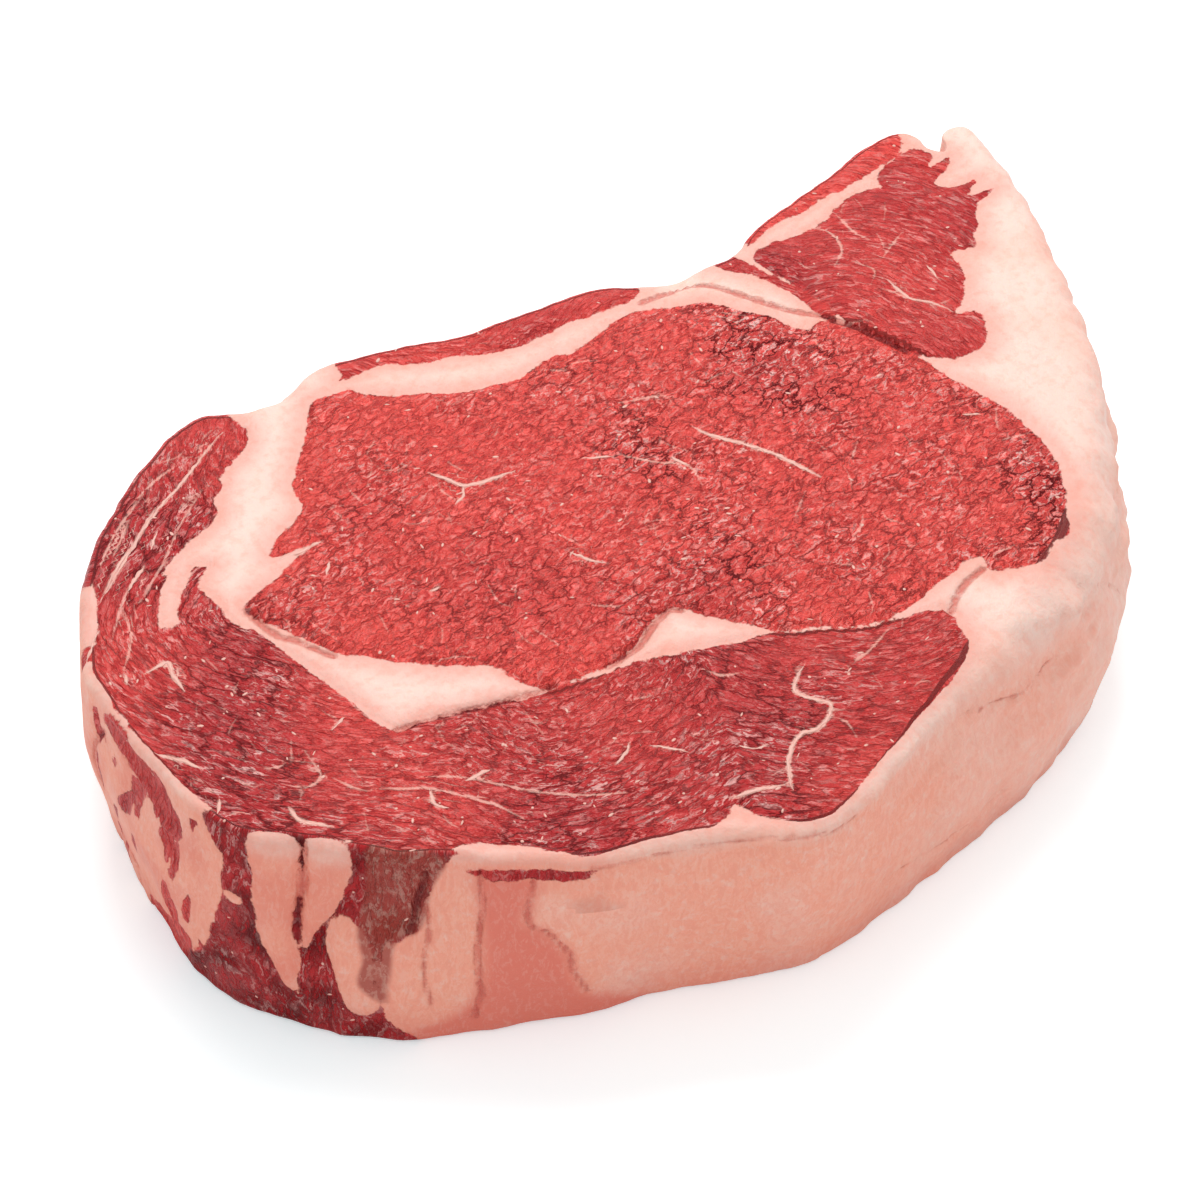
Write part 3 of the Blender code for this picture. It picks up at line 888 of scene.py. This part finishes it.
def meat_material(colours):
    """Lean, fat, marbling, silver skin and creases, told apart by the values on the mesh."""
    material = bpy.data.materials.new("raw_meat")
    material.use_nodes = True
    tree = material.node_tree
    surface = tree.nodes["Principled BSDF"]
    s = Wiring(tree)
    here = s.add("ShaderNodeTexCoord").outputs["Object"]
    grain = s.stretch(s.vector("grain"), (MM, MM, MM))
    slow = s.add("ShaderNodeSeparateXYZ", {0: s.vector("slow")}).outputs
    patches, drift, cloud = slow[0], slow[1], slow[2]
    push = s.noise(grain, FIBRE_BENDS, 4.0, 0.68, "2D", "Color")
    bent_grain = s.shift(grain, s.stretch(push, BEND))

    fine = s.noise(here, FINE_NOISE, 3.0, 0.62)
    speckle = s.noise(bent_grain, SPECKLES, 3.0, 0.65, "2D")
    wander = s.math("SUBTRACT", fine, 0.5)
    fat_depth = s.math("MULTIPLY_ADD", wander, 1.5, s.value("fat"))
    fat_depth = s.math("MULTIPLY_ADD", drift, 0.5, fat_depth)
    is_fat = s.step(fat_depth, -0.14, 0.16)

    span = s.add("ShaderNodeVectorMath", {0: s.vector("vein")}, operation="LENGTH").outputs["Value"]
    half = s.math("MULTIPLY_ADD", s.math("SUBTRACT", speckle, 0.5), 0.9, s.value("vein_half"))
    near_vein = s.step(s.value("vein_gap"), 1.6, 1.2)
    in_vein = s.math("MULTIPLY", s.step(s.math("SUBTRACT", half, span), -0.16, 0.16), near_vein)
    in_vein = s.math("MULTIPLY", in_vein, s.step(s.value("vein_half"), 0.05, 0.36, 0.4, 0.95))

    fat_colour = add_fat(s, fine, cloud, s.value("skin"), colours)
    # The salmon value also carries the painted shade along the foot of the wall.
    fat_colour = s.mix(s.value("salmon"), fat_colour, colours.wet_fat)
    streaks = s.math("MULTIPLY", s.step(speckle, 0.42, 0.66), s.value("skin"))
    fat_colour = s.mix(s.math("MULTIPLY", streaks, 0.22), fat_colour, colours.wet_fat)
    sheen = s.math("MULTIPLY", s.step(speckle, 0.5, 0.34), s.value("skin"))
    fat_colour = s.mix(s.math("MULTIPLY", sheen, 0.15), fat_colour, colours.cut_fat)
    near_lean = s.step(fat_depth, 5.5, 0.0, 0.0, 0.46)
    near_lean = s.math("MULTIPLY", near_lean, s.math("MULTIPLY_ADD", s.value("skin"), -0.6, 1.0))
    fat_colour = s.mix(near_lean, fat_colour, colours.wet_fat)

    long_crack, long_round = add_bundles(s, bent_grain, LONG_CELLS, LONG_CRACK)
    short_crack, short_round = add_bundles(s, bent_grain, SHORT_CELLS, SHORT_CRACK)
    strong = s.math("MULTIPLY", s.value("crackle"), s.step(patches, -0.25, 0.3, 0.5, 1.0))
    gate = s.math("MULTIPLY", strong, s.step(drift, -0.5, 0.0, 0.2, 1.15))
    long_crack = s.math("MULTIPLY", long_crack, gate, clamp=True)
    broken = s.step(fine, 0.42, 0.6, 0.15, 1.0)
    short_crack = s.math("MULTIPLY", short_crack, s.math("MULTIPLY_ADD", strong, 0.6, 0.25))
    short_crack = s.math("MULTIPLY", short_crack, broken)

    tone = s.math("MULTIPLY_ADD", patches, 0.7, s.value("dark"), clamp=True)
    lean = s.mix(tone, colours.bright_lean, colours.dark_lean)
    deep = s.math("SUBTRACT", s.value("dark"), 1.0, clamp=True)
    lean = s.mix(deep, lean, colours.crack_and_crease_shade)
    # Painted highlight: pale wet glints on the bundle tops, strongest where the lean is cracked, stand in for
    # reflections of the light.
    glint = s.math("MULTIPLY", s.step(long_round, 0.1, 0.8, 0.4, 1.0), s.step(speckle, 0.47, 0.68))
    glint = s.math("MULTIPLY", glint, s.math("MULTIPLY_ADD", strong, 0.8, 0.2))
    glint = s.math("MULTIPLY", glint, s.step(cloud, -0.3, 0.2, 0.35, 1.0))
    lean = s.mix(glint, lean, colours.painted_glint)
    lean = s.mix(s.step(speckle, 0.52, 0.3, 0.0, 0.8), lean, colours.dark_lean)
    lean = s.mix(short_crack, lean, colours.crack_and_crease_shade)
    lean = s.mix(long_crack, lean, colours.crack_and_crease_shade)

    veil = s.step(s.math("MULTIPLY_ADD", drift, 0.8, s.value("membrane")), -0.4, 0.6, 0.0, 0.85)
    wisp = s.math("ADD", fine, s.math("SUBTRACT", speckle, 0.5))
    veil_colour = s.mix(s.step(wisp, 0.42, 0.72, 0.0, 0.8), colours.membrane, colours.membrane_pale)

    colour = s.mix(in_vein, lean, fat_colour)
    colour = s.mix(is_fat, colour, fat_colour)
    colour = s.mix(veil, colour, veil_colour)
    # Painted shade in the creases: along each crease the lean darkens towards the crack colour and the fat
    # towards the crease colour. The same mask also deepens the bump.
    crease_groove_and_shade = s.step(s.math("ADD", s.value("crease"), wander), 0.95, 0.15, 0.0, 0.75)
    crease_shade_colour = s.mix(is_fat, colours.crack_and_crease_shade, colours.crease)
    colour = s.mix(crease_groove_and_shade, colour, crease_shade_colour)
    tree.links.new(colour, surface.inputs["Base Color"])

    any_fat = s.math("MAXIMUM", is_fat, in_vein)
    kept = s.math("SUBTRACT", 1.0, any_fat)
    lean_height = s.math("MULTIPLY_ADD", long_round, 0.5, s.math("MULTIPLY", short_round, 0.35))
    lean_height = s.math("MULTIPLY_ADD", speckle, 0.35, lean_height)
    fat_height = s.math("MULTIPLY_ADD", fine, 0.55, 0.6)
    height = s.math("MULTIPLY_ADD", lean_height, kept, s.math("MULTIPLY", fat_height, any_fat))
    height = s.math("MULTIPLY_ADD", crease_groove_and_shade, -0.8, height)
    bump = s.add("ShaderNodeBump", {"Height": height, "Strength": 1.0, "Distance": FINE_RELIEF})
    tree.links.new(bump.outputs["Normal"], surface.inputs["Normal"])

    wetness = s.step(cloud, -0.3, 0.35, 0.3, 0.48)
    fat_rough = s.step(drift, -0.35, 0.35, 0.38, 0.55)
    roughness = s.math("MULTIPLY_ADD", wetness, kept, s.math("MULTIPLY", fat_rough, any_fat))
    tree.links.new(roughness, surface.inputs["Roughness"])
    surface.inputs["IOR"].default_value = 1.4
    open_crack = s.math("MAXIMUM", s.math("MAXIMUM", long_crack, short_crack), deep)
    shine = s.math("MULTIPLY_ADD", s.math("MULTIPLY", open_crack, kept), -0.3, 0.42)
    tree.links.new(shine, surface.inputs["Specular IOR Level"])
    surface.inputs["Subsurface Weight"].default_value = 0.15
    surface.inputs["Subsurface Radius"].default_value = (1.0, 0.35, 0.25)
    surface.inputs["Subsurface Scale"].default_value = 0.001
    return material


def fleck_material(colours):
    """Fat of the loose flecks and strands on the lean."""
    material = bpy.data.materials.new("marbling_fat")
    material.use_nodes = True
    tree = material.node_tree
    surface = tree.nodes["Principled BSDF"]
    s = Wiring(tree)
    here = s.add("ShaderNodeTexCoord").outputs["Object"]
    fine = s.noise(here, 900.0, 2.0)
    colour = s.mix(0.45, add_fat(s, fine, 0.0, 0.1, colours), colours.wet_fat)
    tree.links.new(colour, surface.inputs["Base Color"])
    tree.links.new(s.step(fine, 0.3, 0.7, 0.3, 0.5), surface.inputs["Roughness"])
    bump = s.add("ShaderNodeBump", {"Height": fine, "Strength": 0.5, "Distance": 0.0002})
    tree.links.new(bump.outputs["Normal"], surface.inputs["Normal"])
    surface.inputs["Subsurface Weight"].default_value = 0.15
    surface.inputs["Subsurface Radius"].default_value = (1.0, 0.4, 0.3)
    surface.inputs["Subsurface Scale"].default_value = 0.001
    return material


def fleck_tree():
    """Scatters small flattened flecks of fat over the lean of the steak."""
    s, given = new_tree(
        "scatter_flecks",
        "Geometry",
        {
            "Geometry": "Geometry",
            "Steak": "Object",
            "Per Square Metre": "Float",
            "Length": "Float",
            "Seed": "Int",
            "Finish": "Material",
        },
        {"Geometry": "Geometry"},
    )
    meat = s.add("GeometryNodeObjectInfo", {"Object": given["Steak"]}).outputs["Geometry"]
    fat = s.add("GeometryNodeInputNamedAttribute", {"Name": "fat"}, data_type="FLOAT").outputs[0]
    place = s.add("GeometryNodeInputPosition").outputs[0]
    height = s.add("ShaderNodeSeparateXYZ", {0: place}).outputs[2]
    lean = s.math("MULTIPLY", s.math("LESS_THAN", fat, -0.7), s.math("GREATER_THAN", height, 0.003))
    density = s.math("MULTIPLY", lean, given["Per Square Metre"])
    points = s.add(
        "GeometryNodeDistributePointsOnFaces", {"Mesh": meat, "Seed": given["Seed"], "Density": density}
    )
    size = s.add(
        "FunctionNodeRandomValue",
        {0: (0.4, 0.3, 0.16), 1: (1.6, 0.75, 0.26), "Seed": given["Seed"]},
        data_type="FLOAT_VECTOR",
    ).outputs[0]
    size = s.scaled(size, given["Length"])
    spin = s.add("FunctionNodeRandomValue", {2: 0.0, 3: math.pi}, data_type="FLOAT").outputs[1]
    turn = s.add("FunctionNodeAxisAngleToRotation", {"Axis": (0, 0, 1), "Angle": spin}).outputs[0]
    facing = s.add(
        "FunctionNodeRotateRotation",
        {"Rotation": points.outputs["Rotation"], "Rotate By": turn},
        rotation_space="LOCAL",
    ).outputs[0]
    ball = s.add("GeometryNodeMeshIcoSphere", {"Radius": 1.0, "Subdivisions": 2}).outputs[0]
    flecks = s.add(
        "GeometryNodeInstanceOnPoints",
        {"Points": points.outputs["Points"], "Instance": ball, "Rotation": facing, "Scale": size},
    ).outputs[0]
    finish_tree(s, flecks, given["Finish"])
    return s.tree


def strand_tree():
    """Lays curves on the steak and gives them an uneven body, thin at both ends."""
    s, given = new_tree(
        "lay_strands",
        "Geometry",
        {
            "Geometry": "Geometry",
            "Steak": "Object",
            "Step": "Float",
            "Wander": "Float",
            "Finish": "Material",
        },
        {"Geometry": "Geometry"},
    )
    meat = s.add("GeometryNodeObjectInfo", {"Object": given["Steak"]}).outputs["Geometry"]
    lines = s.add(
        "GeometryNodeResampleCurve", {"Curve": given["Geometry"], "Length": given["Step"]}, mode="LENGTH"
    ).outputs[0]
    place = s.add("GeometryNodeInputPosition").outputs[0]
    sway = s.shift(s.noise(place, 700.0, 2.0, output="Color"), (-0.5, -0.5, -0.5))
    sway = s.scaled(sway, given["Wander"])
    start = s.shift(place, s.stretch(sway, (1.0, 1.0, 0.0)))
    landed = s.add(
        "GeometryNodeRaycast",
        {"Target Geometry": meat, "Source Position": start, "Ray Direction": (0, 0, -1)},
    )
    lines = s.add(
        "GeometryNodeSetPosition", {"Geometry": lines, "Position": landed.outputs["Hit Position"]}
    ).outputs[0]
    lines = s.add("GeometryNodeSetCurveNormal", {"Curve": lines}, mode="Z_UP").outputs[0]
    along = s.add("GeometryNodeSplineParameter").outputs["Factor"]
    both_ends = s.math("MULTIPLY", along, s.math("SUBTRACT", 1.0, along))
    taper = s.step(both_ends, 0.0, 0.2, 0.15, 1.0)
    lumps = s.step(s.noise(place, 900.0, 2.0), 0.3, 0.7, 0.35, 1.4)
    radius = s.add("GeometryNodeInputRadius").outputs[0]
    radius = s.math("MULTIPLY", radius, s.math("MULTIPLY", taper, lumps))
    ring = s.add("GeometryNodeCurvePrimitiveCircle", {"Resolution": 8, "Radius": 1.0}).outputs[0]
    ring = s.add("GeometryNodeTransform", {"Geometry": ring, "Scale": (1.0, 0.25, 1.0)}).outputs[0]
    strands = s.add(
        "GeometryNodeCurveToMesh",
        {"Curve": lines, "Profile Curve": ring, "Scale": radius, "Fill Caps": True},
    ).outputs[0]
    finish_tree(s, strands, given["Finish"])
    return s.tree


def finish_tree(s, shape, finish):
    """Ends a tree: real mesh, smooth, with its finish."""
    real = s.add("GeometryNodeRealizeInstances", {"Geometry": shape}).outputs[0]
    smooth = s.add("GeometryNodeSetShadeSmooth", {"Geometry": real}).outputs[0]
    done = s.add("GeometryNodeSetMaterial", {"Geometry": smooth, "Material": finish}).outputs[0]
    s.result("Geometry", done)


def grown(name, base, tree, values):
    """Runs a tree on a base object and returns the real mesh that it makes, as its own object."""
    bpy.context.scene.collection.objects.link(base)
    modifier = base.modifiers.new("grow", "NODES")
    modifier.node_group = tree
    for item in tree.interface.items_tree:
        if item.in_out == "INPUT" and item.name in values:
            modifier[item.identifier] = values[item.name]
    evaluated = base.evaluated_get(bpy.context.evaluated_depsgraph_get())
    mesh = bpy.data.meshes.new_from_object(evaluated)
    bpy.data.objects.remove(base)
    if not mesh.polygons:
        raise RuntimeError(f"{name} came out empty")
    mesh.name = name
    piece = bpy.data.objects.new(name, mesh)
    bpy.context.scene.collection.objects.link(piece)
    return piece


def strand_curves(lines, shift, start_height):
    """A curve object of open lines, given in millimetres with half widths, above the steak."""
    curves = bpy.data.curves.new("strand_lines", "CURVE")
    curves.dimensions = "3D"
    for line, half in lines:
        path = curve_through(line, closed=False, steps=6) + shift
        spline = curves.splines.new("POLY")
        spline.points.add(len(path) - 1)
        for point, (x, y) in zip(spline.points, path):
            point.co = (x * MM, y * MM, start_height, 1.0)
            point.radius = half * MM
    return bpy.data.objects.new("strand_lines", curves)


def own_part(piece, *nodes):
    """Hangs the piece on the body and hides the solids that it takes the place of."""
    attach(piece, BODY)
    if nodes:
        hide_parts(*nodes)


class SteakForm(bpy.types.PropertyGroup):
    thickness: FloatProperty(
        name="Thickness", description="From the lower cut face to the upper one", default=0.036, unit="LENGTH"
    )
    top_spacing: FloatProperty(
        name="Top spacing", description="Between points of the upper face", default=0.00066, unit="LENGTH"
    )
    base_spacing: FloatProperty(
        name="Base spacing", description="Between points of the lower face", default=0.0014, unit="LENGTH"
    )
    wall_columns: IntProperty(name="Wall columns", description="Points round the wall", default=680)
    wall_rows: IntProperty(name="Wall rows", description="Rings down the wall", default=38)
    flecks_per_area: FloatProperty(name="Flecks", description="Per square metre of lean", default=22000.0)
    fleck_length: FloatProperty(
        name="Fleck length", description="Half the length of a usual fleck", default=0.00034, unit="LENGTH"
    )


def colour_choice(name, description, value):
    return FloatVectorProperty(name=name, description=description, subtype="COLOR", default=value)


class SteakColours(bpy.types.PropertyGroup):
    bright_lean: colour_choice("Bright lean", "The eye muscle", (0.91, 0.080, 0.062))
    dark_lean: colour_choice("Dark lean", "The cap and tail muscles", (0.50, 0.014, 0.018))
    # Painted highlight: the pale colour of the wet glints laid over the lean.
    painted_glint: colour_choice("Pale lean", "Fine fibres in the lean", (0.92, 0.52, 0.48))
    # The crack colour also paints the shade in the creases on the lean.
    crack_and_crease_shade: colour_choice("Cracks", "Between muscle bundles", (0.13, 0.003, 0.005))
    cut_fat: colour_choice("Cut fat", "Fat on the cut faces", (0.93, 0.67, 0.58))
    skin_fat: colour_choice("Outer fat", "The outside of the fat cap", (0.97, 0.42, 0.30))
    # This colour is also used for the painted shade along the foot of the wall.
    wet_fat: colour_choice("Wet fat", "Fat stained by the lean", (0.80, 0.21, 0.15))
    membrane: colour_choice("Membrane", "Silver skin", (0.37, 0.055, 0.04))
    membrane_pale: colour_choice("Pale membrane", "Wisps in it", (0.52, 0.24, 0.19))
    # Painted shade: the dark colour laid at the bottom of the creases in the fat.
    crease: colour_choice("Creases", "The bottom of the folds", (0.66, 0.12, 0.09))


class SteakStage(bpy.types.PropertyGroup):
    floor: FloatVectorProperty(
        name="Floor", description="The floor's colour", subtype="COLOR", default=(0.93, 0.93, 0.93)
    )
    sky: FloatProperty(name="Sky", description="Strength of the even light", default=0.74)
    key: FloatProperty(name="Key", description="Power of the large lamp", default=2.1, unit="POWER")
    distance: FloatProperty(
        name="Camera distance", description="From the steak", default=0.6154, unit="LENGTH"
    )
    elevation: FloatProperty(
        name="Elevation", description="Of the camera", default=math.radians(47), subtype="ANGLE"
    )
    heading: FloatProperty(
        name="Heading", description="Of the camera, from +Y to +X", default=math.radians(45), subtype="ANGLE"
    )


class STEAK_OT_meat(bpy.types.Operator):
    """Makes the meat: both cut faces and the wall in one closed mesh"""

    bl_idname = "steak.meat"
    bl_label = "Cut the meat"

    def execute(self, context):
        scene = context.scene
        steak, shift = cut_steak(scene.steak_form)
        scene["steak_shift"] = [float(v) for v in shift]
        steak.data.materials.append(meat_material(scene.steak_colours))
        own_part(steak, NODE)
        return {"FINISHED"}


class STEAK_OT_flecks(bpy.types.Operator):
    """Scatters fine flecks of fat on the lean"""

    bl_idname = "steak.flecks"
    bl_label = "Scatter the flecks"

    def execute(self, context):
        scene = context.scene
        form = scene.steak_form
        values = {
            "Steak": bpy.data.objects["steak_meat"],
            "Per Square Metre": form.flecks_per_area,
            "Length": form.fleck_length,
            "Seed": 11,
            "Finish": fleck_material(scene.steak_colours),
        }
        base = bpy.data.objects.new("fleck_base", bpy.data.meshes.new("fleck_base"))
        own_part(grown("marbling_flecks", base, fleck_tree(), values))
        return {"FINISHED"}


class STEAK_OT_strands(bpy.types.Operator):
    """Lays the larger marbling strands on the upper face"""

    bl_idname = "steak.strands"
    bl_label = "Lay the strands"

    def execute(self, context):
        scene = context.scene
        values = {
            "Steak": bpy.data.objects["steak_meat"],
            "Step": 0.0004,
            "Wander": 0.0009,
            "Finish": bpy.data.materials["marbling_fat"],
        }
        lines = [(line, half * 0.62) for line, half in VEINS if half >= 0.35]
        base = strand_curves(lines, np.array(scene["steak_shift"]), scene.steak_form.thickness * 1.5)
        own_part(grown("marbling_strands", base, strand_tree(), values))
        return {"FINISHED"}


class STEAK_OT_stage(bpy.types.Operator):
    """Sets the floor, the light and the camera"""

    bl_idname = "steak.stage"
    bl_label = "Set the stage"

    def execute(self, context):
        scene = context.scene
        stage = scene.steak_stage
        build_floor(stage)
        build_light(scene, stage)
        build_camera(scene, stage)
        scene.view_settings.view_transform = "Standard"
        return {"FINISHED"}


def build_floor(stage):
    bpy.ops.mesh.primitive_plane_add(size=6.0, location=(0, 0, 0))
    floor = bpy.context.object
    floor.name = "floor"
    material = bpy.data.materials.new("floor_paper")
    material.use_nodes = True
    tree = material.node_tree
    surface = tree.nodes["Principled BSDF"]
    s = Wiring(tree)
    here = s.add("ShaderNodeTexCoord").outputs["Object"]
    shade = s.noise(here, 2.0)
    colour = s.mix(s.math("MULTIPLY", shade, 0.04), stage.floor, (0.98, 0.98, 0.98))
    tree.links.new(colour, surface.inputs["Base Color"])
    surface.inputs["Roughness"].default_value = 0.9
    surface.inputs["Specular IOR Level"].default_value = 0.1
    seen = s.add("ShaderNodeLightPath").outputs["Is Camera Ray"]
    surface.inputs["Emission Color"].default_value = (0.82, 1.0, 1.03, 1)
    tree.links.new(s.math("MULTIPLY", seen, 0.38), surface.inputs["Emission Strength"])
    floor.data.materials.append(material)


def build_light(scene, stage):
    world = bpy.data.worlds.new("studio")
    scene.world = world
    world.use_nodes = True
    tree = world.node_tree
    s = Wiring(tree)
    seen = s.add("ShaderNodeLightPath").outputs["Is Camera Ray"]
    strength = s.math("MULTIPLY_ADD", seen, 1.0 - stage.sky, stage.sky)
    background = tree.nodes["Background"]
    background.inputs["Color"].default_value = (1, 1, 1, 1)
    tree.links.new(strength, background.inputs["Strength"])
    lamp = bpy.data.lights.new("key", "AREA")
    lamp.shape = "RECTANGLE"
    lamp.size, lamp.size_y = 0.32, 0.26
    lamp.energy = stage.key
    key = bpy.data.objects.new("key", lamp)
    key.location = (0.18, 0.24, 0.6)
    key.rotation_euler = (Vector((0, 0, 0.02)) - key.location).to_track_quat("-Z", "Y").to_euler()
    scene.collection.objects.link(key)


def build_camera(scene, stage):
    shift = scene["steak_shift"]
    aim = Vector((shift[0] * MM, shift[1] * MM, 0.018))
    ahead = Vector((
        math.sin(stage.heading) * math.cos(stage.elevation),
        math.cos(stage.heading) * math.cos(stage.elevation),
        -math.sin(stage.elevation),
    ))
    lens = bpy.data.cameras.new("camera")
    lens.lens = 120
    lens.sensor_width = 36
    lens.clip_start = 0.01
    camera = bpy.data.objects.new("camera", lens)
    camera.location = aim - ahead * stage.distance
    camera.rotation_euler = ahead.to_track_quat("-Z", "Y").to_euler()
    scene.collection.objects.link(camera)
    scene.camera = camera


class STEAK_PT_panel(bpy.types.Panel):
    bl_label = "Raw ribeye steak"
    bl_idname = "STEAK_PT_panel"
    bl_space_type = "VIEW_3D"
    bl_region_type = "UI"
    bl_category = "Steak"

    def draw(self, context):
        scene = context.scene
        for owner in (scene.steak_form, scene.steak_colours, scene.steak_stage):
            for name in owner.bl_rna.properties.keys():
                if name not in ("rna_type", "name"):
                    self.layout.prop(owner, name)
        for step in STEPS:
            self.layout.operator(f"steak.{step}")


STEPS = ("meat", "flecks", "strands", "stage")
CLASSES = (SteakForm, SteakColours, SteakStage, STEAK_OT_meat, STEAK_OT_flecks, STEAK_OT_strands,
           STEAK_OT_stage, STEAK_PT_panel)


def register():
    for item in CLASSES:
        bpy.utils.register_class(item)
    bpy.types.Scene.steak_form = PointerProperty(type=SteakForm)
    bpy.types.Scene.steak_colours = PointerProperty(type=SteakColours)
    bpy.types.Scene.steak_stage = PointerProperty(type=SteakStage)


def unregister():
    for name in ("steak_form", "steak_colours", "steak_stage"):
        delattr(bpy.types.Scene, name)
    for item in reversed(CLASSES):
        bpy.utils.unregister_class(item)


def main():
    register()
    for step in STEPS:
        getattr(bpy.ops.steak, step)()


if __name__ == "__main__":
    main()
